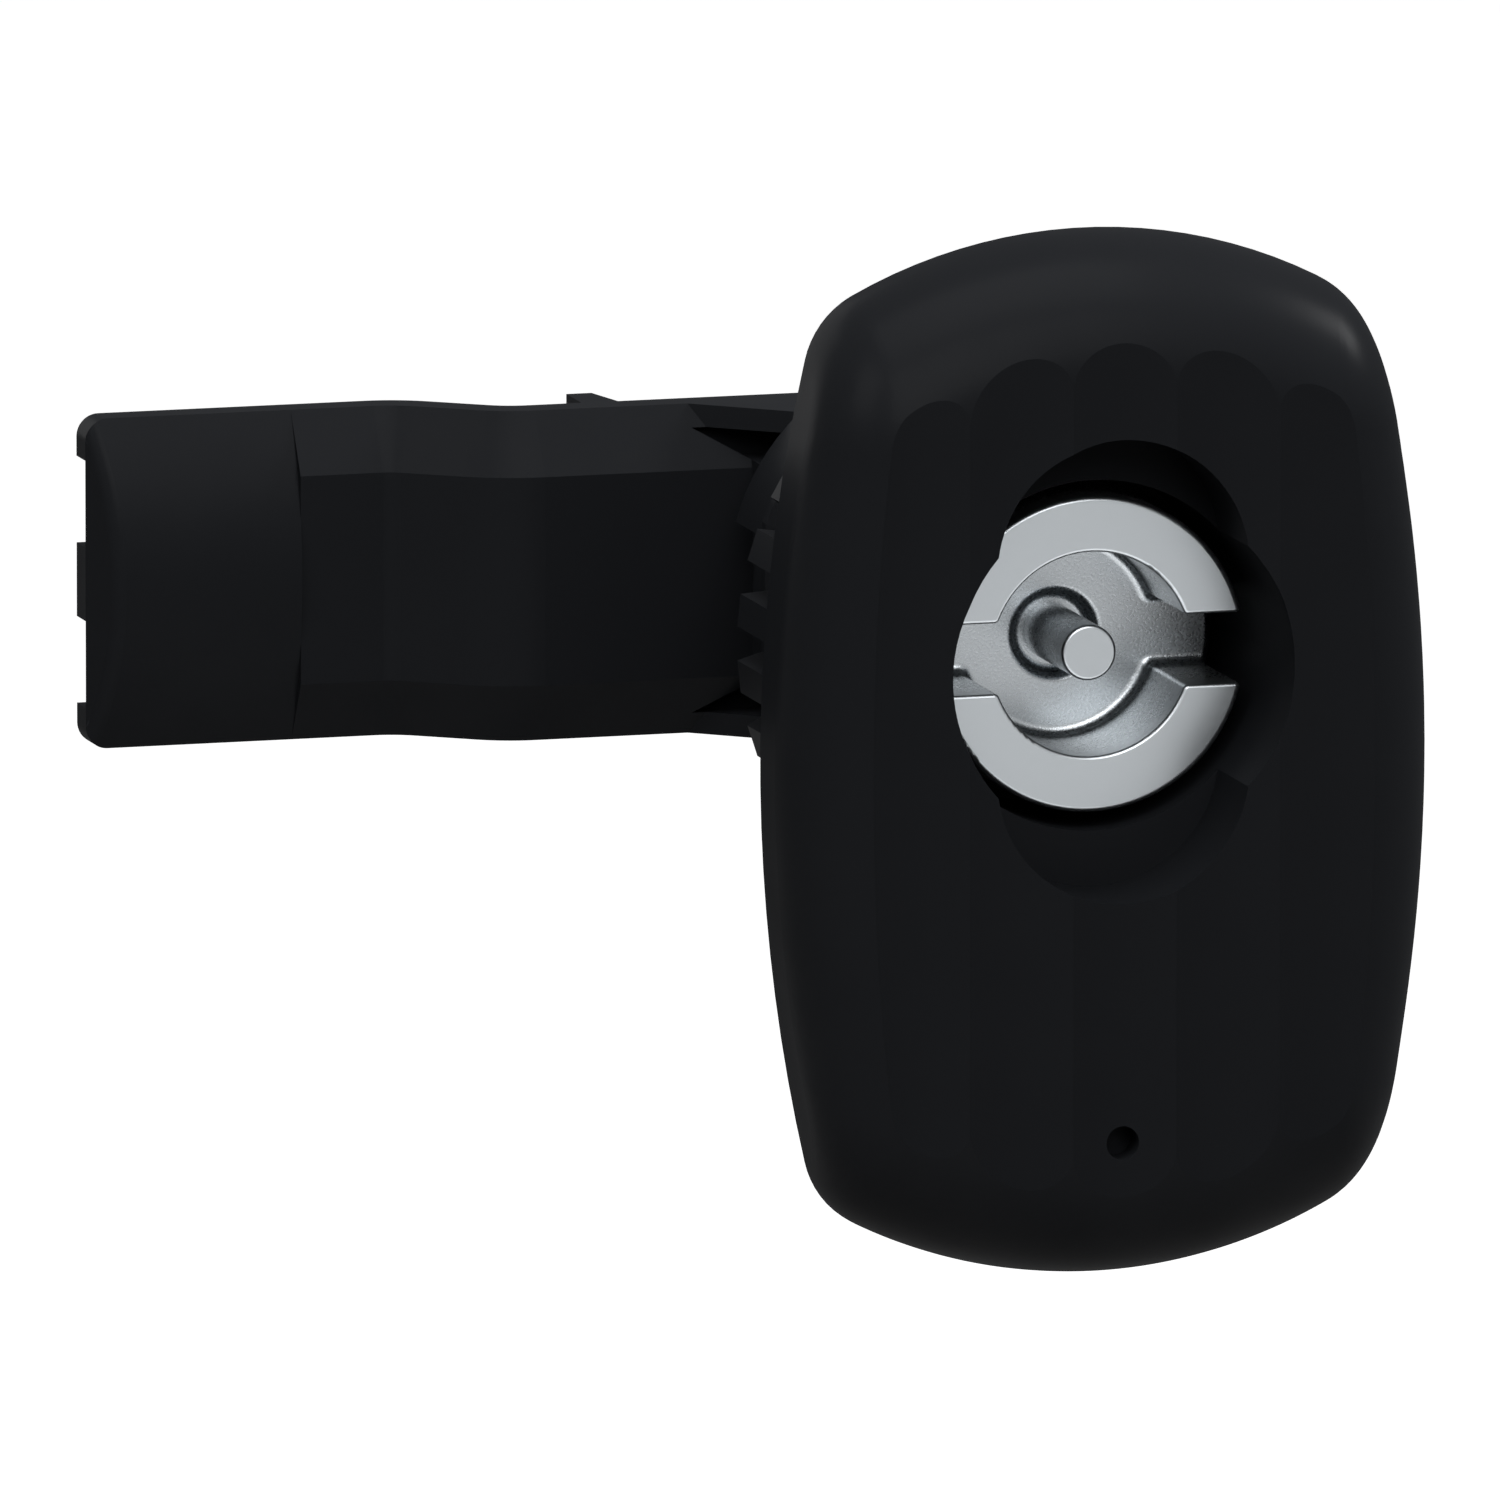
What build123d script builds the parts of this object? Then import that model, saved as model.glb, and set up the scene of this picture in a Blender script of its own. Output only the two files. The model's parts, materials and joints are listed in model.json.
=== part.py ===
"""Quarter-turn cam lock for an enclosure door, worked by a 3 mm double-bit key.

Millimetres. The lock axis is the Y axis and +Y points into the enclosure. The origin is on the axis, in
the plane of the door's outer face, where the back of the escutcheon rests. +Z is up.
"""

import os
from math import cos, radians, sin, sqrt, tan

from build123d import *

# ---------------------------------------------------------------- key and insert
KEY_PIN_D = 3.0  # centre pin of the insert, the size the key is named by
KEY_SLOT_W = 3.8  # slot for the two key bits
KEY_RECESS_R = 5.5  # inside of the insert's ring
KEY_RECESS_DEPTH = 7.0
PIN_BELOW_RING = 0.5
PIN_GROOVE_R = 2.2  # dished ring in the floor around the pin
PIN_GROOVE_DEPTH = 1.0
PIN_GROOVE_LIP = 0.45
INSERT_R = 8.5
RIM_ROUND = 0.3  # around the insert's face
BORE_ROUND = 0.2  # at the ring's bore, the slot and the pin
SLOT_CORNER_R = 0.3  # where the slot leaves the bore
RECESS_FILLET = 0.55

# ---------------------------------------------------------------- escutcheon
PLATE_DEPTH = 7.8  # from the rim that meets the door to the front face
CAP_R = 28.0  # one circle gives the plate's top and bottom ends
CAP_CENTRE_Z = -5.3
PLATE_HALF_W = 17.85
SIDE_R = 96.0
SIDE_ROUND = 5.0  # along both sides and down the four corners
CROWN_ROUND = 7.3  # the ends are rounded more broadly
PLATE_WALL = 2.2
PLATE_SKIN = 3.0  # behind the front face
LAND_WALL = 1.3  # around the gasket
PLATE_RIB = 1.6
FLUTE_PITCH = 5.7
FLUTE_COUNT = 5
FLUTE_DEPTH = 0.35
MARK_HOLE_D = 1.8
MARK_HOLE_DEPTH = 2.0
MARK_HOLE_UP = 8.0  # from the plate's bottom end

# ---------------------------------------------------------------- key opening
INSERT_GAP = 0.93  # dark ring between insert and opening
INSERT_SUNK = 6.2  # front of the plate to the face of the insert
LOBE_R = 6.95
LOBE_OFFSET = 5.5
LOBE_DEPTH = 5.9

# ---------------------------------------------------------------- barrel
THREAD_R = 13.5  # crest of the barrel's thread and of the collar in the door
THREAD_HEIGHT = 1.3
CUTOUT_FLAT = 12.6  # half the distance across the collar's two flats
COLLAR_LENGTH = 1.2
BARREL_LENGTH = 21.0  # behind the door's outer face
BEARING_START = 8.0  # shoulder that carries the insert's head
BEARING_WALL = 1.6
BARREL_WEB = 1.8
EAR_WALL = 2.0
EAR_SHORT = 0.3  # the ears end just short of the cam
STOP_PLAY = 0.5  # degrees left at each end of the quarter turn

# ---------------------------------------------------------------- running parts
SHAFT_R = 6.95
RUN_CLEARANCE = 0.05
AXIAL_CLEARANCE = 0.1
SEAL_SECTION = 1.35
SEAL_WIDTH = 1.9
SEAL_Y = 12.0
GROOVE_SPARE = 0.15
SPRING_SHEET = 0.4
SPRING_RISE = 0.5
SPRING_INSET = 0.1  # from the rim of the bearing sleeve it stands on
CLIP_SHEET = 0.9
CLIP_GROOVE_DEPTH = 0.75
CLIP_OUTER_R = 8.7
CLIP_MOUTH = 50.0  # degrees
SQUARE = 8.0  # across the flats of the spindle's tail
SQUARE_CORNER = 0.8
STOP_DISC_SHEET = 1.6
STOP_DISC_GAP = 0.25
STOP_ROOM = 1.6  # from the retaining clip to the stop disc
LUG_ANGLE = 30.0

# ---------------------------------------------------------------- nut, washer and gasket
GASKET_SHEET = 1.6
GASKET_WIDTH = 3.2
SLIP_SHEET = 0.8
SLIP_OUTER_R = 16.2
FACE_CLEARANCE = 0.05
NUT_LENGTH = 6.1
NUT_ROOT_R = 15.5
NUT_TOOTH = 1.6
NUT_TEETH = 30
NUT_TOOTH_SHARE = 0.49
NUT_TOOTH_SINK = 0.3  # so that the teeth run into the nut's body
NUT_FLANK = 10.0  # degrees
NUT_PHASE = 6.0  # degrees that the nut is turned as it stands tightened
THREAD_CLEARANCE = 0.25

# ---------------------------------------------------------------- cam arm
ARM_HALF_W = 8.95
ARM_TIP = 45.4  # from the lock axis
ARM_HEEL = 10.6
ARM_HEEL_R = 4.5
ARM_EDGE = 1.8  # thickness of the arm's border
ARM_RELIEF = 2.0  # raised middle above the border
ARM_FLAT_HALF_W = 5.65
ARM_SKIN = 2.1
ARM_RIM = 2.0
ARM_CRANK = 3.85  # how much deeper the tip lies than the hub
CRANK_MIDDLE = 25.7  # from the lock axis
CRANK_LEAN = 37.0  # degrees
CRANK_HUB_R = 5.0
CRANK_TIP_R = 3.5
BOSS_HEIGHT = 2.7  # above the raised middle
BOSS_HALF_W = 6.05
BOSS_REACH = 9.95
GUSSET_WALL = 1.2
GUSSET_APEX = 13.0
GUSSET_TOP = 8.0
GUSSET_SETBACK = 0.3
PAD_LENGTH = 11.4
PAD_CROWN = 2.3
PAD_FILLET = 0.9
TIP_CORNER_R = 1.2
TIP_LEAN = 26.0  # degrees
TAB_HALF_W = 2.0
TAB_CORNER_W = 2.25
FOOT_HEIGHT = 3.0
FOOT_X = 18.4
FOOT_LENGTH = 2.4
FOOT_LEAN = 1.0
RIB_SHEET = 1.4
RIB_PLACES = (16.0, 33.0, 38.5)

# ---------------------------------------------------------------- cam fastening
SCREW_R = 2.5
SCREW_DEPTH = 12.0  # of the tapped hole
SCREW_SPARE = 2.0  # hole left beyond the screw
SCREW_CLEARANCE = 0.05
SCREW_HEAD_AF = 8.0
SCREW_HEAD_H = 3.5
WASHER_R = 7.5
WASHER_SHEET = 1.2
SPLIT_R = 4.6
SPLIT_SHEET = 1.2
SPLIT_GAP = 0.6
TAIL_SHORT = 0.4  # the spindle ends inside the hub, so that the screw clamps the cam

# ---------------------------------------------------------------- places along the axis
FRONT_Y = -PLATE_DEPTH
RING_Y = FRONT_Y + INSERT_SUNK
FLOOR_Y = RING_Y + KEY_RECESS_DEPTH
OPENING_R = INSERT_R + INSERT_GAP
HEAD_END_Y = BEARING_START - AXIAL_CLEARANCE
CORE_R = THREAD_R - THREAD_HEIGHT
BEARING_R = SHAFT_R + RUN_CLEARANCE
SPRING_Y = BARREL_LENGTH + AXIAL_CLEARANCE
CLIP_Y = SPRING_Y + SPRING_SHEET + SPRING_RISE + AXIAL_CLEARANCE
STOP_Y = CLIP_Y + CLIP_SHEET + STOP_ROOM
CAM_SEAT = STOP_Y + STOP_DISC_SHEET  # front of the hub's boss
EAR_INNER_R = CORE_R - EAR_WALL
EAR_ANGLE = 90.0 - LUG_ANGLE - 2 * STOP_PLAY
SLIP_Y = FACE_CLEARANCE
NUT_Y = SLIP_Y + SLIP_SHEET + FACE_CLEARANCE
FLAT_Y = CAM_SEAT + BOSS_HEIGHT
EDGE_Y = FLAT_Y + ARM_RELIEF
HUB_BACK_Y = EDGE_Y + ARM_EDGE
TAIL_END_Y = HUB_BACK_Y - TAIL_SHORT
SPLIT_Y = HUB_BACK_Y + WASHER_SHEET
HEAD_Y = SPLIT_Y + SPLIT_SHEET
TIP_EDGE_Y = EDGE_Y + ARM_CRANK


# ---------------------------------------------------------------- helpers
def at_y(y):
    """Plane across the lock axis whose sketch axes are the part's X and Z."""
    return Plane(origin=(0, y, 0), x_dir=(1, 0, 0), z_dir=(0, -1, 0))


def slab(sketch, y0, y1):
    """A sketch drawn in X and Z, given thickness from y0 to y1."""
    return extrude(at_y(y0) * sketch, amount=y1 - y0, dir=(0, 1, 0))


def turned(*points):
    """Turn a closed outline of (radius, y) points about the lock axis."""
    return revolve(make_face(Polyline(*points, close=True)), Axis.Y)


def ring(r_in, r_out, y0, y1):
    return turned((r_in, y0), (r_out, y0), (r_out, y1), (r_in, y1))


def disc(radius, y0, y1):
    return slab(Circle(radius), y0, y1)


def sector(radius, centre, width):
    """A pie slice in X and Z: centre and width in degrees, from +X towards +Z."""
    reach = radius / cos(radians(width / 4))
    turns = [centre - width / 2 + width * step / 4 for step in range(5)]
    rim = [(reach * cos(radians(a)), reach * sin(radians(a))) for a in turns]
    return make_face(Polyline((0, 0), *rim, close=True))


# ---------------------------------------------------------------- escutcheon and barrel
def plate_outline(inset=0.0):
    """Two end arcs and two flatter side arcs; inset draws the same form further in."""
    side_shift = SIDE_R - PLATE_HALF_W
    outline = Pos(0, CAP_CENTRE_Z) * Circle(CAP_R - inset)
    outline &= Pos(side_shift, CAP_CENTRE_Z) * Circle(SIDE_R - inset)
    outline &= Pos(-side_shift, CAP_CENTRE_Z) * Circle(SIDE_R - inset)
    return outline


def crowned_disc(inset=0.0, skin=0.0):
    """The disc between the plate's two end arcs, with its front edge rounded; inset follows it inside."""
    body = disc(CAP_R - inset, FRONT_Y + skin, PLATE_DEPTH)
    body = fillet(body.edges().group_by(Axis.Y)[0], CROWN_ROUND - max(inset, skin))
    return Pos(0, 0, CAP_CENTRE_Z) * body


def flutes():
    """Shallow hollows along the face, side by side, which run out where the crown falls away."""
    half_w = FLUTE_PITCH / 2
    radius = (half_w**2 + FLUTE_DEPTH**2) / (2 * FLUTE_DEPTH)
    cutter = Pos(0, FRONT_Y + FLUTE_DEPTH - radius, CAP_CENTRE_Z) * Cylinder(radius, 2 * CAP_R)
    middle = (FLUTE_COUNT - 1) / 2
    return [Pos((index - middle) * FLUTE_PITCH, 0, 0) * cutter for index in range(FLUTE_COUNT)]


def back_pockets():
    """Hollows in the plate's back, above and below the gasket's land, with ribs between them."""
    inner = plate_outline(PLATE_WALL)
    inner = fillet(inner.vertices(), SIDE_ROUND - PLATE_WALL)
    inner -= Circle(THREAD_R + GASKET_WIDTH + LAND_WALL)
    for x in (-FLUTE_PITCH, FLUTE_PITCH):
        inner -= Pos(x, CAP_CENTRE_Z) * Rectangle(PLATE_RIB, 2 * CAP_R)
    return slab(inner, FRONT_Y + PLATE_SKIN, 1) & crowned_disc(PLATE_WALL, PLATE_SKIN)


def beside_face(edge):
    """True for the edges left and right of the face and down the corners, and not for the back rim."""
    middle = edge.center()
    return abs(middle.X) > PLATE_HALF_W / 2 and round(middle.Y, 3) < 0


def escutcheon():
    plate = slab(plate_outline(), FRONT_Y, 0) & crowned_disc()
    plate = fillet(plate.edges().filter_by(beside_face), SIDE_ROUND)
    for flute in flutes():
        plate -= flute
    mark_z = CAP_CENTRE_Z - CAP_R + MARK_HOLE_UP
    mark = slab(Pos(0, mark_z) * Circle(MARK_HOLE_D / 2), FRONT_Y, FRONT_Y + MARK_HOLE_DEPTH)
    gasket_seat = ring(THREAD_R, THREAD_R + GASKET_WIDTH, -GASKET_SHEET, 1)
    return plate - back_pockets() - mark - gasket_seat


def key_opening():
    lobes = Circle(OPENING_R)
    for side in (-1, 1):
        lobes += Pos(0, side * LOBE_OFFSET) * Circle(LOBE_R)
    return slab(lobes, FRONT_Y - 1, FRONT_Y + LOBE_DEPTH) + disc(OPENING_R, FRONT_Y - 1, BEARING_START)


def barrel():
    body = disc(CORE_R, -PLATE_DEPTH / 2, BARREL_LENGTH)
    flats = Rectangle(2 * CUTOUT_FLAT, 4 * THREAD_R)
    body += slab(Circle(THREAD_R) & flats, -PLATE_DEPTH / 2, COLLAR_LENGTH)
    return body + stop_ears() - barrel_hollow()


def barrel_hollow():
    """Ring-shaped hollow that keeps the walls around the bearing even, with four webs across it."""
    inner = BEARING_R + BEARING_WALL
    outer = EAR_INNER_R
    hollow = Circle(outer) - Circle(inner)
    for turn in (45, 135):
        hollow -= Rot(0, 0, turn) * Rectangle(4 * outer, BARREL_WEB)
    return slab(hollow, BEARING_START + BEARING_WALL, BARREL_LENGTH)


def stop_ears():
    ears = Part()
    for centre in (135, 315):
        arc = Circle(CORE_R) - Circle(EAR_INNER_R)
        arc &= sector(2 * CORE_R, centre, EAR_ANGLE)
        ears += slab(arc, BARREL_LENGTH - 1, STOP_Y + STOP_DISC_SHEET - EAR_SHORT)
    return ears


def front_housing():
    body = escutcheon() + barrel()
    return body - key_opening() - disc(BEARING_R, 0, BARREL_LENGTH + 1)


def face_gasket():
    return ring(THREAD_R + FACE_CLEARANCE, THREAD_R + GASKET_WIDTH - FACE_CLEARANCE, -GASKET_SHEET, 0)


# ---------------------------------------------------------------- key insert
def key_room():
    """Space for the key: a bore and the slot for its two bits, with a rounded floor edge."""
    outline = Circle(KEY_RECESS_R) + Rectangle(4 * INSERT_R, KEY_SLOT_W)
    meeting = [v for v in outline.vertices() if abs(v.X) < INSERT_R]
    room = slab(fillet(meeting, SLOT_CORNER_R), RING_Y, FLOOR_Y)
    return fillet(room.edges().group_by(Axis.Y)[-1], RECESS_FILLET)


def key_insert():
    """Ring with a slot for the key's bits, centre pin, bearing shaft and square tail, cast in one."""
    head = disc(INSERT_R, RING_Y, HEAD_END_Y)
    head = fillet(head.edges().group_by(Axis.Y)[0], RIM_ROUND) - key_room()
    head = fillet(head.edges().group_by(Axis.Y)[0].filter_by(on_bore), BORE_ROUND)
    pin = disc(KEY_PIN_D / 2, RING_Y + PIN_BELOW_RING, HEAD_END_Y)
    pin = fillet(pin.edges().group_by(Axis.Y)[0], BORE_ROUND)
    return head - pin_groove() + pin + spindle()


def on_bore(edge):
    """True for the edges of the key's space, and not for the arcs around the insert's face."""
    return edge.geom_type != GeomType.CIRCLE or edge.radius <= KEY_RECESS_R


def pin_groove():
    """Room around the pin for the end of the key's tube, with a rounded lip and bottom."""
    bottom, wide = FLOOR_Y + PIN_GROOVE_DEPTH, PIN_GROOVE_R + 2 * PIN_GROOVE_LIP
    outline = [(0, FLOOR_Y - 1), (wide, FLOOR_Y - 1), (wide, FLOOR_Y)]
    outline += [(PIN_GROOVE_R, FLOOR_Y), (PIN_GROOVE_R, bottom), (0, bottom)]
    section = make_face(Polyline(*outline, close=True))
    for depth in (FLOOR_Y, bottom):
        corner = section.vertices().sort_by_distance((PIN_GROOVE_R, depth, 0))[0]
        section = fillet(corner, PIN_GROOVE_LIP)
    return revolve(section, Axis.Y)


def spindle():
    shaft = disc(SHAFT_R, HEAD_END_Y - 1, STOP_Y)
    tail = Rectangle(SQUARE, SQUARE)
    tail = chamfer(tail.vertices(), SQUARE_CORNER)
    body = shaft + slab(tail, STOP_Y - 1, TAIL_END_Y)
    seal_half = SEAL_WIDTH / 2 + GROOVE_SPARE
    body -= ring(BEARING_R - SEAL_SECTION, SHAFT_R + 1, SEAL_Y - seal_half, SEAL_Y + seal_half)
    body -= ring(SHAFT_R - CLIP_GROOVE_DEPTH, SHAFT_R + 1, CLIP_Y, CLIP_Y + CLIP_SHEET + AXIAL_CLEARANCE)
    return body - disc(SCREW_R, TAIL_END_Y - SCREW_DEPTH, TAIL_END_Y + 1)


def shaft_seal():
    seal = ring(BEARING_R - SEAL_SECTION, BEARING_R, SEAL_Y - SEAL_WIDTH / 2, SEAL_Y + SEAL_WIDTH / 2)
    return fillet(seal.edges().filter_by(GeomType.CIRCLE), SEAL_SECTION / 3)


def disc_spring():
    """Slightly coned ring that keeps the insert pulled against its shoulder."""
    inner, outer = BEARING_R + AXIAL_CLEARANCE, BEARING_R + BEARING_WALL - SPRING_INSET
    low, high = SPRING_Y, SPRING_Y + SPRING_RISE
    return turned((outer, low), (outer, low + SPRING_SHEET), (inner, high + SPRING_SHEET), (inner, high))


def retaining_clip():
    """Open ring snapped into the shaft's groove, with rounded ends at its mouth."""
    inner = SHAFT_R - CLIP_GROOVE_DEPTH + FACE_CLEARANCE
    shape = Circle(CLIP_OUTER_R) - Circle(inner) - sector(2 * CLIP_OUTER_R, 90, CLIP_MOUTH)
    middle, half = (inner + CLIP_OUTER_R) / 2, (CLIP_OUTER_R - inner) / 2
    for turn in (90 - CLIP_MOUTH / 2, 90 + CLIP_MOUTH / 2):
        shape += Pos(middle * cos(radians(turn)), middle * sin(radians(turn))) * Circle(half)
    start = CLIP_Y + AXIAL_CLEARANCE / 2
    return slab(shape, start, start + CLIP_SHEET)


def stop_disc():
    """Disc on the square tail whose two lugs meet the barrel's ears at both ends of the quarter turn."""
    shape = Circle(EAR_INNER_R - STOP_DISC_GAP)
    shape += Circle(CORE_R) & (sector(2 * CORE_R, 90, LUG_ANGLE) + sector(2 * CORE_R, 270, LUG_ANGLE))
    side = SQUARE + 2 * RUN_CLEARANCE
    shape -= Rectangle(side, side)
    return slab(shape, STOP_Y + FACE_CLEARANCE, STOP_Y + STOP_DISC_SHEET - FACE_CLEARANCE)


# ---------------------------------------------------------------- slip washer and fixing nut
def slip_washer():
    inner = THREAD_R + THREAD_CLEARANCE
    return ring(inner, SLIP_OUTER_R, SLIP_Y, SLIP_Y + SLIP_SHEET)


def nut_tooth():
    root, tip = NUT_ROOT_R - NUT_TOOTH_SINK, NUT_ROOT_R + NUT_TOOTH
    tip_half = tip * sin(radians(180 * NUT_TOOTH_SHARE / NUT_TEETH))
    root_half = tip_half + (tip - root) * tan(radians(NUT_FLANK))
    corners = [(root, -root_half), (tip, -tip_half), (tip, tip_half), (root, root_half)]
    return make_face(Polyline(*corners, close=True))


def fixing_nut():
    outline = Circle(NUT_ROOT_R) + PolarLocations(0, NUT_TEETH, start_angle=NUT_PHASE) * nut_tooth()
    nut = slab(outline, NUT_Y, NUT_Y + NUT_LENGTH)
    collar_room = disc(THREAD_R + THREAD_CLEARANCE, NUT_Y, COLLAR_LENGTH + THREAD_CLEARANCE)
    return nut - disc(CORE_R + THREAD_CLEARANCE, NUT_Y, NUT_Y + NUT_LENGTH) - collar_room


# ---------------------------------------------------------------- cam arm
def arm_path():
    """The front edge of the arm's border in X and Y, cranked between the hub and the tip."""
    half_run = ARM_CRANK / tan(radians(CRANK_LEAN)) / 2
    return FilletPolyline(
        (ARM_HEEL, EDGE_Y),
        (-CRANK_MIDDLE + half_run, EDGE_Y),
        (-CRANK_MIDDLE - half_run, TIP_EDGE_Y),
        (-ARM_TIP, TIP_EDGE_Y),
        radius=(CRANK_HUB_R, CRANK_TIP_R),
    )


def cranked(*profile):
    """Sweep an outline of (depth, Z) points along the arm; depth 0 is the border's front edge."""
    start = Plane(origin=(ARM_HEEL, EDGE_Y, 0), x_dir=(0, 1, 0), z_dir=(-1, 0, 0))
    return sweep(start * make_face(Polyline(*profile, close=True)), path=arm_path())


def along_x(sketch, x0, x1):
    """A sketch drawn in Y and Z, given length from x0 to x1."""
    plane = Plane(origin=(x0, 0, 0), x_dir=(0, 1, 0), z_dir=(1, 0, 0))
    return extrude(plane * sketch, amount=x1 - x0, dir=(1, 0, 0))


def across(points, z0, z1):
    """An outline of (X, Y) points, given width from z0 to z1."""
    face = make_face(Polyline(*points, close=True))
    return extrude(Plane.XY.offset(z0) * face, amount=z1 - z0)


def block(x0, x1, y0, y1, z0, z1):
    return Pos((x0 + x1) / 2, (y0 + y1) / 2, (z0 + z1) / 2) * Box(x1 - x0, y1 - y0, z1 - z0)


def arm_strip():
    """The cranked arm: a flat border, two slanted strips and a raised flat between them."""
    w, flat = ARM_HALF_W, ARM_FLAT_HALF_W
    edge = [(ARM_EDGE, -w), (0, -w), (-ARM_RELIEF, -flat), (-ARM_RELIEF, flat), (0, w), (ARM_EDGE, w)]
    return cranked(*edge)


def arm_underside():
    """Hollow in the arm's back, broken by cross ribs."""
    inner, top = ARM_HALF_W - ARM_RIM, ARM_SKIN - ARM_RELIEF
    hollow = cranked((top, -inner), (2 * ARM_EDGE, -inner), (2 * ARM_EDGE, inner), (top, inner))
    hollow &= block(-ARM_TIP + ARM_RIM, -GUSSET_APEX, 0, 2 * TIP_EDGE_Y, -inner, inner)
    for x in RIB_PLACES:
        hollow -= block(-x - RIB_SHEET / 2, -x + RIB_SHEET / 2, 0, 2 * TIP_EDGE_Y, -inner, inner)
    return hollow


def clamping_pad():
    """Crowned pad at the tip, which presses on the frame."""
    radius = (ARM_HALF_W**2 + PAD_CROWN**2) / (2 * PAD_CROWN)
    crown = Pos(TIP_EDGE_Y - PAD_CROWN + radius, 0) * Circle(radius)
    front = Pos(TIP_EDGE_Y + ARM_EDGE - 2 * PAD_CROWN, 0) * Rectangle(4 * PAD_CROWN, 2 * ARM_HALF_W)
    pad = along_x(crown & front, -ARM_TIP, -ARM_TIP + PAD_LENGTH)
    lean = tan(radians(TIP_LEAN)) * ARM_HALF_W
    wedge = [(-ARM_TIP, TIP_EDGE_Y), (-ARM_TIP - 1, TIP_EDGE_Y), (-ARM_TIP - 1, TIP_EDGE_Y - ARM_HALF_W)]
    wedge.append((-ARM_TIP + lean, TIP_EDGE_Y - ARM_HALF_W))
    pad -= across(wedge, -2 * ARM_HALF_W, 2 * ARM_HALF_W)
    return fillet(pad.edges().filter_by(GeomType.ELLIPSE), PAD_FILLET)


def arm_outline():
    outline = Pos((ARM_HEEL - ARM_TIP) / 2, 0) * Rectangle(ARM_HEEL + ARM_TIP, 2 * ARM_HALF_W)
    outline = fillet(outline.vertices().group_by(Axis.X)[0], TIP_CORNER_R)
    return fillet(outline.vertices().group_by(Axis.X)[-1], ARM_HEEL_R)


def hub_boss():
    width = BOSS_REACH + GUSSET_TOP
    outline = Pos((GUSSET_TOP - BOSS_REACH) / 2, 0) * Rectangle(width, 2 * BOSS_HALF_W)
    return slab(outline, CAM_SEAT, HUB_BACK_Y)


def hub_gussets():
    """Wedge-shaped walls that stiffen the arm on both sides of the hub."""
    top = CAM_SEAT + GUSSET_SETBACK
    side = [(-GUSSET_APEX, EDGE_Y), (-GUSSET_TOP, top), (GUSSET_TOP, top), (ARM_HEEL, EDGE_Y)]
    outer, inner = ARM_HALF_W, ARM_HALF_W - GUSSET_WALL
    return across(side, inner, outer) + across(side, -outer, -inner)


def hub_pockets():
    """Clear space between the boss and the gussets, with a slanted end on the arm's side."""
    outer = ARM_HALF_W - GUSSET_WALL
    ends = [(-GUSSET_APEX, outer), (ARM_HEEL, outer), (ARM_HEEL, BOSS_HALF_W), (-BOSS_REACH, BOSS_HALF_W)]
    pocket = slab(make_face(Polyline(*ends, close=True)), CAM_SEAT, EDGE_Y)
    return pocket + mirror(pocket, Plane.XY)


def tip_notches():
    """Openings in the tip's end wall, which leave a middle tab and two corner tabs."""
    inner, outer = TAB_HALF_W, ARM_HALF_W - TAB_CORNER_W
    low, high = TIP_EDGE_Y, TIP_EDGE_Y + 2 * ARM_EDGE
    notch = block(-ARM_TIP - 1, -ARM_TIP + ARM_RIM, low, high, inner, outer)
    return notch + mirror(notch, Plane.XY)


def arm_feet():
    """Two short feet on the arm's back, one on each long edge."""
    deep = HUB_BACK_Y + FOOT_HEIGHT
    side = [(-FOOT_X, EDGE_Y), (-FOOT_X, deep), (-FOOT_X + FOOT_LENGTH - FOOT_LEAN, deep)]
    side.append((-FOOT_X + FOOT_LENGTH, EDGE_Y))
    foot = across(side, ARM_HALF_W - ARM_RIM, ARM_HALF_W)
    return foot + mirror(foot, Plane.XY)


def cam_arm():
    arm = arm_strip()
    arm -= block(-ARM_TIP - 1, -ARM_TIP + PAD_LENGTH, 0, 2 * TIP_EDGE_Y, -ARM_TIP, ARM_TIP)
    arm += clamping_pad()
    arm = arm - hub_pockets() + hub_boss() + hub_gussets() + arm_feet()
    arm &= slab(arm_outline(), 0, 2 * TIP_EDGE_Y)
    arm = arm - arm_underside() - tip_notches()
    side = SQUARE + 2 * RUN_CLEARANCE
    return arm - slab(Rectangle(side, side), 0, 2 * TIP_EDGE_Y)


# ---------------------------------------------------------------- cam fastening
def cam_washer():
    return ring(SCREW_R + SCREW_CLEARANCE, WASHER_R, HUB_BACK_Y, SPLIT_Y)


def split_washer():
    washer = ring(SCREW_R + SCREW_CLEARANCE, SPLIT_R, SPLIT_Y, HEAD_Y)
    return washer - slab(Pos(SPLIT_R / 2, 0) * Rectangle(SPLIT_R + 1, SPLIT_GAP), SPLIT_Y, HEAD_Y)


def cam_screw():
    head = slab(RegularPolygon(SCREW_HEAD_AF / 2, 6, major_radius=False), HEAD_Y, HEAD_Y + SCREW_HEAD_H)
    head &= turned(
        (0, HEAD_Y),
        (SCREW_HEAD_AF, HEAD_Y),
        (SCREW_HEAD_AF, HEAD_Y + SCREW_HEAD_H / 2),
        (SCREW_HEAD_AF / 2, HEAD_Y + SCREW_HEAD_H),
        (0, HEAD_Y + SCREW_HEAD_H),
    )
    return head + disc(SCREW_R - SCREW_CLEARANCE, TAIL_END_Y - SCREW_DEPTH + SCREW_SPARE, HEAD_Y)


# ---------------------------------------------------------------- write the sub-parts
PARTS = {
    "front_housing": front_housing,
    "face_gasket": face_gasket,
    "slip_washer": slip_washer,
    "fixing_nut": fixing_nut,
    "key_insert": key_insert,
    "shaft_seal": shaft_seal,
    "disc_spring": disc_spring,
    "retaining_clip": retaining_clip,
    "stop_disc": stop_disc,
    "cam_arm": cam_arm,
    "cam_washer": cam_washer,
    "split_washer": split_washer,
    "cam_screw": cam_screw,
}

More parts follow.
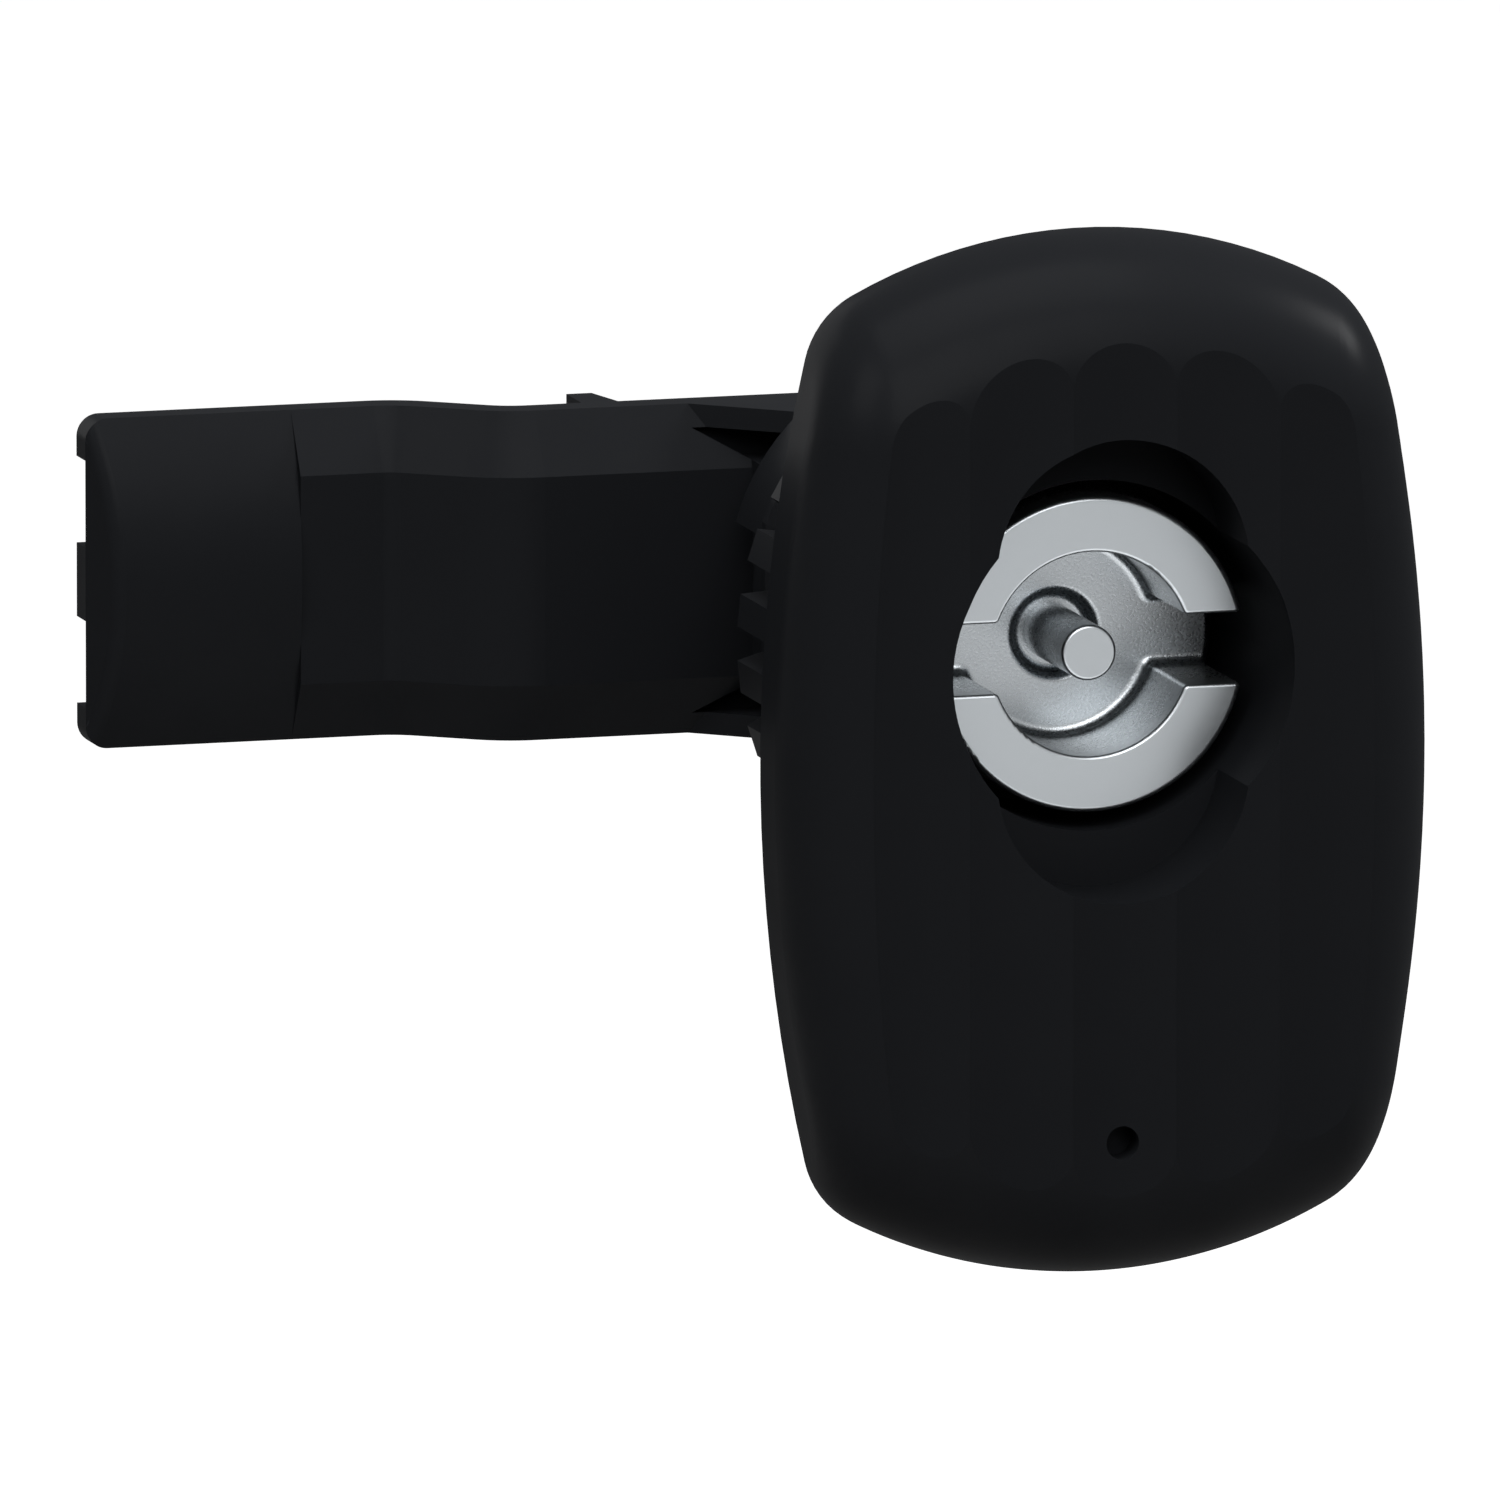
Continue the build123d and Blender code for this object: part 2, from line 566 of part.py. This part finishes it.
os.makedirs("parts", exist_ok=True)
for name, make in PARTS.items():
    export_step(make(), f"parts/{name}.step")
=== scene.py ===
# %% [markdown]
# # A quarter-turn cam lock for an enclosure door
#
# The lock is a black moulded escutcheon with a threaded barrel, a satin metal insert that a
# double-bit key turns, a toothed ring nut and a long cranked cam arm. The solid pieces come ready
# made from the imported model, in metres, with the lock's axis along Y. This lesson lights them, gives
# them their finishes and winds the thread that the plain barrel leaves out.

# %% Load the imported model
import json
from math import cos, pi, radians, sin

import bpy
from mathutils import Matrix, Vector

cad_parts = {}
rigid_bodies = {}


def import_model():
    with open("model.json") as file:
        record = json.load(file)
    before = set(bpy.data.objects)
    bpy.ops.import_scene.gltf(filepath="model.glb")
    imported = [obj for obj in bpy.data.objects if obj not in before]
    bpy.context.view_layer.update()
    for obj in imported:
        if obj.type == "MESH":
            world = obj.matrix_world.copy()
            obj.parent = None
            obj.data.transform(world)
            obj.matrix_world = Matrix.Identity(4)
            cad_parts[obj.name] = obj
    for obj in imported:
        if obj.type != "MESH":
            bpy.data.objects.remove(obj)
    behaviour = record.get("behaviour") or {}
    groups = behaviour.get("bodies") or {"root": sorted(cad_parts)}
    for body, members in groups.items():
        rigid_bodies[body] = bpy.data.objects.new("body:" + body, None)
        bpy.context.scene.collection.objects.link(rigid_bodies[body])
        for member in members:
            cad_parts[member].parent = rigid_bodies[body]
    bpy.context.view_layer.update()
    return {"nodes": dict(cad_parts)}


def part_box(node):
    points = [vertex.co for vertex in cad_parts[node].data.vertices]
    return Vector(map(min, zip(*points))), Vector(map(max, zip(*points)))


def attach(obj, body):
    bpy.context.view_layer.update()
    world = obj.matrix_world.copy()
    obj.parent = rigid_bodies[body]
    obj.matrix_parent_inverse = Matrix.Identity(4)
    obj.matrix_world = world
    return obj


for spare in list(bpy.data.objects):
    bpy.data.objects.remove(spare)

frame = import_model()
nodes = frame["nodes"]
scene = bpy.context.scene
MM = 0.001
print("pieces in the packed model:", sorted(nodes))

# %% [markdown]
# ## Camera
#
# A catalogue picture like this is taken from far away with a long lens, so that parallel edges stay
# nearly parallel. The camera could be placed by its coordinates. It is placed by its angles and its
# distance from the point it looks at instead, because those can be read and changed one at a time.
# The point is level with the front of the escutcheon's crown and on the arm's side of the lock.


# %% Place the camera
def place_camera(target, turn, rise, distance, lens):
    """Look at a point from a turn to the left and a rise above the level, both in degrees."""
    level = distance * cos(radians(rise))
    offset = Vector((
        -level * sin(radians(turn)),
        -level * cos(radians(turn)),
        distance * sin(radians(rise)),
    ))
    data = bpy.data.cameras.new("camera")
    data.lens = lens
    data.sensor_width = 36.0
    data.clip_end = 20.0
    camera = bpy.data.objects.new("camera", data)
    camera.location = target + offset
    camera.rotation_euler = (-offset).to_track_quat("-Z", "Y").to_euler()
    scene.collection.objects.link(camera)
    scene.camera = camera
    return camera


LOOK_AT = Vector((-20.65 * MM, -7.8 * MM, -3.13 * MM))
camera = place_camera(LOOK_AT, turn=16.04, rise=9.76, distance=2.4285, lens=1104.4)
print("camera at", tuple(round(v, 4) for v in camera.location))

# %% [markdown]
# ## Colours
#
# Colours are written as sRGB hex values, the way a designer or a colour picker gives them. Blender's
# shaders want linear light, so one function converts them all, and no colour is guessed twice.


# %% From sRGB to linear light
def linear(hex_colour):
    """An sRGB hex colour as a linear RGBA tuple."""
    values = [int(hex_colour[i : i + 2], 16) / 255 for i in (1, 3, 5)]
    curve = [v / 12.92 if v <= 0.04045 else ((v + 0.055) / 1.055) ** 2.4 for v in values]
    return (*curve, 1.0)


print("middle grey #808080 in linear light:", round(linear("#808080")[0], 3))

# %% [markdown]
# ## Nodes
#
# Materials, the world and the thread are all node trees. They could be wired by hand, three or four
# lines for each node. One small function adds a node with its settings and links instead, so that
# each node is one call, and a tree reads like a list of its steps.


# %% Add a node
def add(tree, kind, settings=None, **inputs):
    """Add a node: settings are its properties, and each input takes a value, a socket or a node.

    An input goes by its name, with _ for a space, or by its number, as in i0, where names repeat.
    """
    node = tree.nodes.new(kind)
    for name, value in (settings or {}).items():
        setattr(node, name, value)
    for name, value in inputs.items():
        numbered = name[0] == "i" and name[1:].isdigit()
        socket = node.inputs[int(name[1:]) if numbered else name.replace("_", " ")]
        if isinstance(value, bpy.types.Node):
            value = value.outputs[0]
        if isinstance(value, bpy.types.NodeSocket):
            tree.links.new(value, socket)
        else:
            socket.default_value = value
    return node


trial = bpy.data.node_groups.new("trial", "ShaderNodeTree")
node = add(trial, "ShaderNodeMath", {"operation": "MULTIPLY"}, i0=2.0, i1=3.0)
print("trial node:", node.name, node.operation, [socket.default_value for socket in node.inputs[:2]])
bpy.data.node_groups.remove(trial)

# %% [markdown]
# ## World
#
# The lock stands in a white studio. A world that simply shines white would also light the object from
# all sides and wash out its shadows. So it is white only for rays that end in the eye, in a mirror or
# behind glass, and much darker for the rays that light other things.


# %% Light the world
def seen_directly(tree):
    """One for rays that show a thing to the eye, in a mirror or through glass, zero for the rest."""
    path = add(tree, "ShaderNodeLightPath")
    seen = path.outputs["Is Camera Ray"]
    for kind in ("Is Glossy Ray", "Is Transmission Ray"):
        either = add(
            tree, "ShaderNodeMath", {"operation": "MAXIMUM"}, i0=seen, i1=path.outputs[kind]
        )
        seen = either.outputs[0]
    return seen


def light_world(level):
    """A white surround for the eye and for reflections, with its own level as a lamp."""
    world = bpy.data.worlds.new("studio")
    scene.world = world
    world.use_nodes = True
    tree = world.node_tree
    tree.nodes.clear()
    strength = add(
        tree, "ShaderNodeMix", {"data_type": "FLOAT"}, Factor=seen_directly(tree), i2=level, i3=1.0
    )
    glow = add(tree, "ShaderNodeBackground", Color=(1, 1, 1, 1), Strength=strength)
    add(tree, "ShaderNodeOutputWorld", Surface=glow)
    return world


WORLD_LEVEL = 0.12
world = light_world(WORLD_LEVEL)
print("world:", world.name, "with", len(world.node_tree.nodes), "nodes, at level", WORLD_LEVEL)

# %% [markdown]
# ## Floor
#
# Studio paper is matt and white. It could be a bright lamp, but then it would light the undersides,
# which are the darkest places on the real lock. So it follows the same rule as the world: white paint
# with a little glow of its own for the eye, and a dark grey as a lamp. It still takes the lock's
# shadow. It lies well below the lock, which a door would hold up.


# %% Lay the floor
def lay_floor(height, paint, bounce, lift):
    """A wide floor of white paint for the eye, lifted to full white, and a darker one as a lamp."""
    bpy.ops.mesh.primitive_plane_add(size=6.0, location=(0, 0, height))
    floor = bpy.context.object
    floor.name = "studio_floor"
    material = bpy.data.materials.new("white_studio_paper")
    material.use_nodes = True
    tree = material.node_tree
    tree.nodes.clear()
    seen = seen_directly(tree)
    bright = add(tree, "ShaderNodeBsdfDiffuse", Color=linear(paint))
    glow = add(tree, "ShaderNodeEmission", Color=linear(paint), Strength=lift)
    paper = add(tree, "ShaderNodeAddShader", i0=bright, i1=glow)
    dull = add(tree, "ShaderNodeBsdfDiffuse", Color=linear(bounce))
    mixed = add(tree, "ShaderNodeMixShader", Fac=seen, i1=dull, i2=paper)
    add(tree, "ShaderNodeOutputMaterial", Surface=mixed)
    floor.data.materials.append(material)
    return floor


floor = lay_floor(-0.35, paint="#FFFFFF", bounce="#2C2C2C", lift=0.82)
print("floor:", round(-floor.location.z / MM), "mm below the lock's axis")

# %% [markdown]
# ## Lamps
#
# Black plastic shows little of its own colour: the eye reads its form from what it reflects. A sun
# would leave one hard glint, so soft square panels hang round the lock instead. The large front panel
# lights the face and shows in the crown above it. The top panel carries that soft sheen over the rim
# and along the arm. The small right panel draws the bright patch on the upper right corner, and the
# weak left panel keeps the left rim from sinking into black. The back panel shows the arm's ribs and
# the nut when the lock is seen from behind.


# %% Hang the panels
def hang_panel(name, direction, distance, size, power):
    """A square soft panel that hangs in a direction from the lock and faces it."""
    data = bpy.data.lights.new(name, "AREA")
    data.shape = "SQUARE"
    data.size = size
    data.energy = power
    panel = bpy.data.objects.new(name, data)
    away = Vector(direction).normalized()
    panel.location = LOOK_AT + away * distance
    panel.rotation_euler = (-away).to_track_quat("-Z", "Y").to_euler()
    scene.collection.objects.link(panel)
    return panel


# Each panel's direction from the lock, its distance and side in metres, and its power in watts.
PANELS = {
    "front_panel": ((-0.05, -0.8, 0.6), 1.2, 0.85, 12.7),
    "top_panel": ((0.0, -0.1, 1.0), 1.0, 0.75, 9.0),
    "right_panel": ((0.8, 0.1, 0.58), 1.0, 0.3, 12.5),
    "left_panel": ((-0.72, -0.35, 0.6), 1.0, 0.5, 4.0),
    "back_panel": ((-0.35, 0.9, 0.25), 1.2, 0.8, 9.0),
}
for name, (direction, distance, size, power) in PANELS.items():
    hang_panel(name, direction, distance, size, power)
scene.view_settings.view_transform = "Standard"

# %% [markdown]
# ## Black polyamide
#
# Escutcheon, arm and nut are glass-filled polyamide, injection moulded in a steel tool whose walls
# are lightly textured. The eye sees a deep neutral black with a soft satin sheen, and that sheen
# stays low even at shallow angles, because the texture scatters it. The shader's own gloss would rise
# to a mirror there and show the white floor along every underside. So its specular level is zero, and
# a thin rough coat takes its place, because a coat's weight scales its whole gloss.
#
# Slow clouds, 6 mm across, vary the sheen a little, as plastic that cooled unevenly does. The tool's
# texture is drawn with grains of a fifth of a millimetre. That is coarser than the real one, which
# would be too fine to show.


# %% Mould the polyamide
def start_material(name):
    """An empty node material, its tree, its Principled shader and the object coordinates."""
    material = bpy.data.materials.new(name)
    material.use_nodes = True
    tree = material.node_tree
    tree.nodes.clear()
    shader = add(tree, "ShaderNodeBsdfPrincipled")
    add(tree, "ShaderNodeOutputMaterial", Surface=shader)
    place = add(tree, "ShaderNodeTexCoord").outputs["Object"]
    return material, tree, shader, place


MULTIPLY_ADD = {"operation": "MULTIPLY_ADD"}
COOLING_CLOUD = 6 * MM
TOOL_GRAIN = 0.2 * MM
GRAIN_RELIEF = 0.01 * MM
SHEEN_SPREAD = 0.02


def moulded_polyamide(name, colour, gloss):
    """Textured black plastic: a deep matt black under a thin coat that holds all its gloss."""
    material, tree, shader, place = start_material(name)
    shader.inputs["Base Color"].default_value = linear(colour)
    shader.inputs["Specular IOR Level"].default_value = 0.0
    shader.inputs["Coat Roughness"].default_value = 0.3
    cloud = add(tree, "ShaderNodeTexNoise", Vector=place, Scale=1 / COOLING_CLOUD)
    rough = add(tree, "ShaderNodeMath", MULTIPLY_ADD, i0=cloud, i1=0.1, i2=0.5)
    tree.links.new(rough.outputs[0], shader.inputs["Roughness"])
    least = gloss - SHEEN_SPREAD / 2
    sheen = add(tree, "ShaderNodeMath", MULTIPLY_ADD, i0=cloud, i1=SHEEN_SPREAD, i2=least)
    tree.links.new(sheen.outputs[0], shader.inputs["Coat Weight"])
    grain = add(tree, "ShaderNodeTexNoise", Vector=place, Scale=1 / TOOL_GRAIN)
    relief = add(tree, "ShaderNodeBump", Height=grain, Strength=0.25, Distance=GRAIN_RELIEF)
    for skin in ("Normal", "Coat Normal"):
        tree.links.new(relief.outputs[0], shader.inputs[skin])
    return material


# Each moulding has its own batch of plastic, so each has its own material.
polyamide = {
    batch: moulded_polyamide(f"moulded_polyamide_{batch}", "#151618", gloss=0.034)
    for batch in ("plate", "arm", "nut")
}
print("polyamide:", [material.name for material in polyamide.values()])

# %% [markdown]
# ## Die-cast zinc
#
# The insert is cast in zinc alloy, machined on its face and plated in satin chrome. The eye sees a
# pale, even ring, and deeper in a fine sandy skin that sparkles where light falls straight on it. Two
# materials would need a border between face and recess. One material that reads the depth below the
# face changes from smooth to sandy by itself, with no line. The sand's grains are 0.15 mm, which is
# the real size of such a cast skin.

# %% Cast the zinc
SAND_GRAIN = 0.15 * MM
SAND_RELIEF = 0.03 * MM
MACHINED_DEPTH = 0.3 * MM
SANDY_DEPTH = 2.0 * MM
FACE_STRENGTH = 0.02
DEPTH_STRENGTH = 0.3


def cast_zinc(name, colour, face):
    """Satin metal that is smooth at the machined face, which lies at Y = face, and sandy below."""
    material, tree, shader, place = start_material(name)
    shader.inputs["Base Color"].default_value = linear(colour)
    shader.inputs["Metallic"].default_value = 1.0
    depth = add(tree, "ShaderNodeSeparateXYZ", Vector=place).outputs["Y"]
    deep = add(
        tree, "ShaderNodeMapRange",
        Value=depth, From_Min=face + MACHINED_DEPTH, From_Max=face + SANDY_DEPTH,
    )
    sand = add(tree, "ShaderNodeTexNoise", Vector=place, Scale=1 / SAND_GRAIN, Detail=3.0)
    rough = add(
        tree, "ShaderNodeMapRange", Value=sand, From_Min=0.3, From_Max=0.7, To_Min=0.29, To_Max=0.35
    )
    skin = add(tree, "ShaderNodeMath", MULTIPLY_ADD, i0=deep, i1=-0.04, i2=rough)
    tree.links.new(skin.outputs[0], shader.inputs["Roughness"])
    rise = add(tree, "ShaderNodeMath", MULTIPLY_ADD, i0=deep, i1=DEPTH_STRENGTH, i2=FACE_STRENGTH)
    relief = add(tree, "ShaderNodeBump", Height=sand, Strength=rise, Distance=SAND_RELIEF)
    tree.links.new(relief.outputs[0], shader.inputs["Normal"])
    return material


insert_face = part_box("key_insert")[0][1]
zinc_insert = cast_zinc("satin_cast_zinc", "#979B9E", insert_face)
print("zinc:", zinc_insert.name, "with its face at Y", round(insert_face / MM, 2), "mm")

# %% [markdown]
# ## Plated steel
#
# Washers, clip, spring, stop disc and screw are small steel parts that are zinc-plated in a barrel.
# The eye sees a slightly blue metal, cloudy where the parts rubbed against each other. A flat grey
# would look like paint, so a cloud about 1.5 mm across mixes two greys and dulls the paler one.


# %% Plate the steel
PLATING_CLOUD = 1.5 * MM


def plated_steel(name):
    """Barrel-plated steel: two near greys and a gloss that changes with them."""
    material, tree, shader, place = start_material(name)
    shader.inputs["Metallic"].default_value = 1.0
    cloud = add(tree, "ShaderNodeTexNoise", Vector=place, Scale=1 / PLATING_CLOUD, Detail=4.0)
    tint = add(
        tree, "ShaderNodeMix", {"data_type": "RGBA"},
        Factor=cloud, i6=linear("#9B9EA3"), i7=linear("#B8BABD"),
    )
    tree.links.new(tint.outputs[2], shader.inputs["Base Color"])
    rough = add(tree, "ShaderNodeMath", MULTIPLY_ADD, i0=cloud, i1=0.2, i2=0.22)
    tree.links.new(rough.outputs[0], shader.inputs["Roughness"])
    return material


zinc_steel = plated_steel("zinc_plated_steel")
print("steel:", zinc_steel.name, "with", len(zinc_steel.node_tree.nodes), "nodes")

# %% [markdown]
# ## Nitrile rubber
#
# The gasket behind the escutcheon and the seal on the shaft are moulded in black nitrile rubber. The
# eye sees a matt, soft black without a clear highlight. A high roughness alone looks like soot, so a
# low bloom in spots of 0.4 mm, as rubber shows when it is handled, varies it and its surface.


# %% Mould the rubber
BLOOM_SPOT = 0.4 * MM
BLOOM_RELIEF = 0.01 * MM


def nitrile_rubber(name):
    """Soft matt rubber: a low gloss, broken up by the spots of its bloom."""
    material, tree, shader, place = start_material(name)
    shader.inputs["Base Color"].default_value = linear("#111111")
    shader.inputs["Specular IOR Level"].default_value = 0.15
    bloom = add(tree, "ShaderNodeTexNoise", Vector=place, Scale=1 / BLOOM_SPOT)
    rough = add(tree, "ShaderNodeMath", MULTIPLY_ADD, i0=bloom, i1=0.15, i2=0.62)
    tree.links.new(rough.outputs[0], shader.inputs["Roughness"])
    relief = add(tree, "ShaderNodeBump", Height=bloom, Strength=0.3, Distance=BLOOM_RELIEF)
    tree.links.new(relief.outputs[0], shader.inputs["Normal"])
    return material


rubber = nitrile_rubber("nitrile_rubber")
print("rubber:", rubber.name, "with", len(rubber.node_tree.nodes), "nodes")

# %% [markdown]
# ## Dress the solid pieces
#
# The solid pieces are already what a mould, a die or a press made, down to their rounded edges. They
# could be copied and worked over in Blender, but each would then say something else than the packed
# model. So each keeps its mesh and takes one finish.

# %% Assign the finishes
finishes = {
    "front_housing": polyamide["plate"],
    "cam_arm": polyamide["arm"],
    "fixing_nut": polyamide["nut"],
    "key_insert": zinc_insert,
    "face_gasket": rubber,
    "shaft_seal": rubber,
    "slip_washer": zinc_steel,
    "disc_spring": zinc_steel,
    "retaining_clip": zinc_steel,
    "stop_disc": zinc_steel,
    "cam_washer": zinc_steel,
    "split_washer": zinc_steel,
    "cam_screw": zinc_steel,
}
for node, finish in finishes.items():
    nodes[node].data.materials.clear()
    nodes[node].data.materials.append(finish)
print("finished:", len(finishes), "pieces")

# %% [markdown]
# ## The barrel's thread
#
# The barrel carries a coarse thread of 3 mm pitch for the ring nut, cut away on the left and the
# right by the two flats that stop the lock from turning in its door. The solid barrel is plain, so
# the ridge is a piece of its own. Its points could be worked out in a loop. A ridge that winds round
# a barrel follows a rule, though, which makes it a task for Geometry Nodes: a spiral, a trapezoid
# swept along it, and a clamp that presses the ridge back to the flats.
#
# The sizes come first. The thread starts just behind the ring nut, and it ends short of the barrel's
# end, where the nut is started on it.

# %% The thread's sizes
nut_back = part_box("fixing_nut")[1][1]
thread_start = nut_back + 0.2 * MM
THREAD_END = 19.7 * MM
thread_sizes = {
    "Root Radius": 12.15 * MM,
    "Height": 1.25 * MM,
    "Root Width": 2.1 * MM,
    "Crest Width": 0.7 * MM,
    "Pitch": 3.0 * MM,
    "Start": thread_start,
    "Length": THREAD_END - thread_start,
    "Flat": 12.6 * MM,
}
print("turns of the thread:", round(thread_sizes["Length"] / thread_sizes["Pitch"], 2))

# %% [markdown]
# ### Open the tree
#
# A node tree of one's own works like a tool with dials. Each size is an input with a name, so that
# the tree holds the rule and the sizes stay outside it, where they can be changed.

# %% Open the tree
tree = bpy.data.node_groups.new("thread_ridge", "GeometryNodeTree")
for label in thread_sizes:
    tree.interface.new_socket(label, in_out="INPUT", socket_type="NodeSocketFloat")
tree.interface.new_socket("Finish", in_out="INPUT", socket_type="NodeSocketMaterial")
tree.interface.new_socket("Geometry", in_out="OUTPUT", socket_type="NodeSocketGeometry")
size = tree.nodes.new("NodeGroupInput").outputs
print("inputs of the tree:", [socket.name for socket in size if socket.name])

# %% [markdown]
# ### The path
#
# The middle of the thread's root is a spiral. A ridge that simply stopped would end in a flat cut,
# and a moulded thread runs out instead. So the first and the last twelfth of the path sink by the
# ridge's height into the barrel, where the solid hides them. The spiral is made round Z, as Blender
# makes it, and turned to the lock's axis later.

# %% Wind the path
POINTS_PER_TURN = 72
RUN_OUT_RATE = 12.0

turns = add(tree, "ShaderNodeMath", {"operation": "DIVIDE"}, i0=size["Length"], i1=size["Pitch"])
spiral = add(
    tree, "GeometryNodeCurveSpiral", Resolution=POINTS_PER_TURN, Rotations=turns,
    Start_Radius=size["Root Radius"], End_Radius=size["Root Radius"], Height=size["Length"],
)
along = add(tree, "GeometryNodeSplineParameter").outputs["Factor"]
ahead = add(tree, "ShaderNodeMath", {"operation": "SUBTRACT"}, i0=1.0, i1=along)
from_end = add(tree, "ShaderNodeMath", {"operation": "MINIMUM"}, i0=along, i1=ahead)
risen = add(
    tree, "ShaderNodeMath", {"operation": "MULTIPLY", "use_clamp": True},
    i0=from_end, i1=RUN_OUT_RATE,
)
sunk = add(tree, "ShaderNodeMath", {"operation": "SUBTRACT"}, i0=1.0, i1=risen)
down = add(tree, "ShaderNodeMath", {"operation": "MULTIPLY"}, i0=size["Height"], i1=-1.0)
inwards = add(tree, "ShaderNodeMath", {"operation": "MULTIPLY"}, i0=sunk, i1=down)
point = add(tree, "GeometryNodeInputPosition")
level = add(tree, "ShaderNodeVectorMath", {"operation": "MULTIPLY"}, i0=point, i1=(1, 1, 0))
outwards = add(tree, "ShaderNodeVectorMath", {"operation": "NORMALIZE"}, i0=level)
sink = add(tree, "ShaderNodeVectorMath", {"operation": "SCALE"}, i0=outwards, Scale=inwards)
path = add(tree, "GeometryNodeSetPosition", Geometry=spiral, Offset=sink)
path = add(tree, "GeometryNodeSetCurveNormal", {"mode": "Z_UP"}, Curve=path)
print("nodes after the path:", len(tree.nodes))

# %% [markdown]
# ### The section
#
# A moulded thread is blunt, with sloping sides, so that it leaves its tool: its section is a
# trapezoid, wide at the root and narrow at the crest. Blender draws it centred on the path. It moves
# up by half its height, so that its root lies on the path, and a quarter turn points it outwards.

# %% Draw the section and sweep it
section = add(
    tree, "GeometryNodeCurvePrimitiveQuadrilateral", {"mode": "TRAPEZOID"}, Offset=0.0,
    Height=size["Height"], Bottom_Width=size["Root Width"], Top_Width=size["Crest Width"],
)
half = add(tree, "ShaderNodeMath", {"operation": "DIVIDE"}, i0=size["Height"], i1=2.0)
up = add(tree, "ShaderNodeCombineXYZ", Y=half)
section = add(tree, "GeometryNodeTransform", Geometry=section, Translation=up)
section = add(tree, "GeometryNodeTransform", Geometry=section, Rotation=(0, 0, pi / 2))
ridge = add(
    tree, "GeometryNodeCurveToMesh", Curve=path, Profile_Curve=section, Fill_Caps=True
)
print("nodes after the section:", len(tree.nodes))

# %% [markdown]
# ### The flats
#
# The swept ridge turns from Z to the lock's axis and moves to its start. Then it meets the flats. A
# Boolean could cut it there, but it is slow and leaves slivers. Limiting each point's X to the flats
# presses the ridge against them instead, and no point is added or lost.
#
# The tree ends in real geometry, since instances would be dropped, and in the finish.

# %% Press the flats and close the tree
start = add(tree, "ShaderNodeCombineXYZ", Y=size["Start"])
laid = add(
    tree, "GeometryNodeTransform", Geometry=ridge, Translation=start, Rotation=(-pi / 2, 0, 0)
)
x, y, z = add(tree, "ShaderNodeSeparateXYZ", Vector=point).outputs
left = add(tree, "ShaderNodeMath", {"operation": "MULTIPLY"}, i0=size["Flat"], i1=-1.0)
capped = add(tree, "ShaderNodeMath", {"operation": "MINIMUM"}, i0=x, i1=size["Flat"])
capped = add(tree, "ShaderNodeMath", {"operation": "MAXIMUM"}, i0=capped, i1=left)
pressed = add(tree, "ShaderNodeCombineXYZ", X=capped, Y=y, Z=z)
cut = add(tree, "GeometryNodeSetPosition", Geometry=laid, Position=pressed)
real = add(tree, "GeometryNodeRealizeInstances", Geometry=cut)
coated = add(tree, "GeometryNodeSetMaterial", Geometry=real, Material=size["Finish"])
add(tree, "NodeGroupOutput", Geometry=coated)
print("nodes in the whole tree:", len(tree.nodes))

# %% [markdown]
# ### Grow the thread
#
# A modifier runs the tree. Its result could stay live, but a plain mesh is what moves and exports
# well, so it is kept as one and the modifier goes. The thread is moulded with the barrel: it has the
# escutcheon's plastic, rides on the same body, and is shaded flat, because its edges are sharp.


# %% Grow the thread
def grow(name, tree, values):
    """Run a tree with its values on a new object, and keep the result as a plain mesh."""
    piece = bpy.data.objects.new(name, bpy.data.meshes.new(name))
    scene.collection.objects.link(piece)
    modifier = piece.modifiers.new("grow", "NODES")
    modifier.node_group = tree
    for item in tree.interface.items_tree:
        if item.item_type == "SOCKET" and item.in_out == "INPUT":
            modifier[item.identifier] = values[item.name]
    evaluated = piece.evaluated_get(bpy.context.evaluated_depsgraph_get())
    mesh = bpy.data.meshes.new_from_object(evaluated)
    piece.modifiers.remove(modifier)
    piece.data = mesh
    return piece


thread = grow("barrel_thread", tree, {**thread_sizes, "Finish": polyamide["plate"]})
for face in thread.data.polygons:
    face.use_smooth = False
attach(thread, "housing")
reach = [max(abs(v.co[axis]) for v in thread.data.vertices) / MM for axis in range(3)]
print("thread:", len(thread.data.polygons), "faces, reach in mm", [round(r, 2) for r in reach])
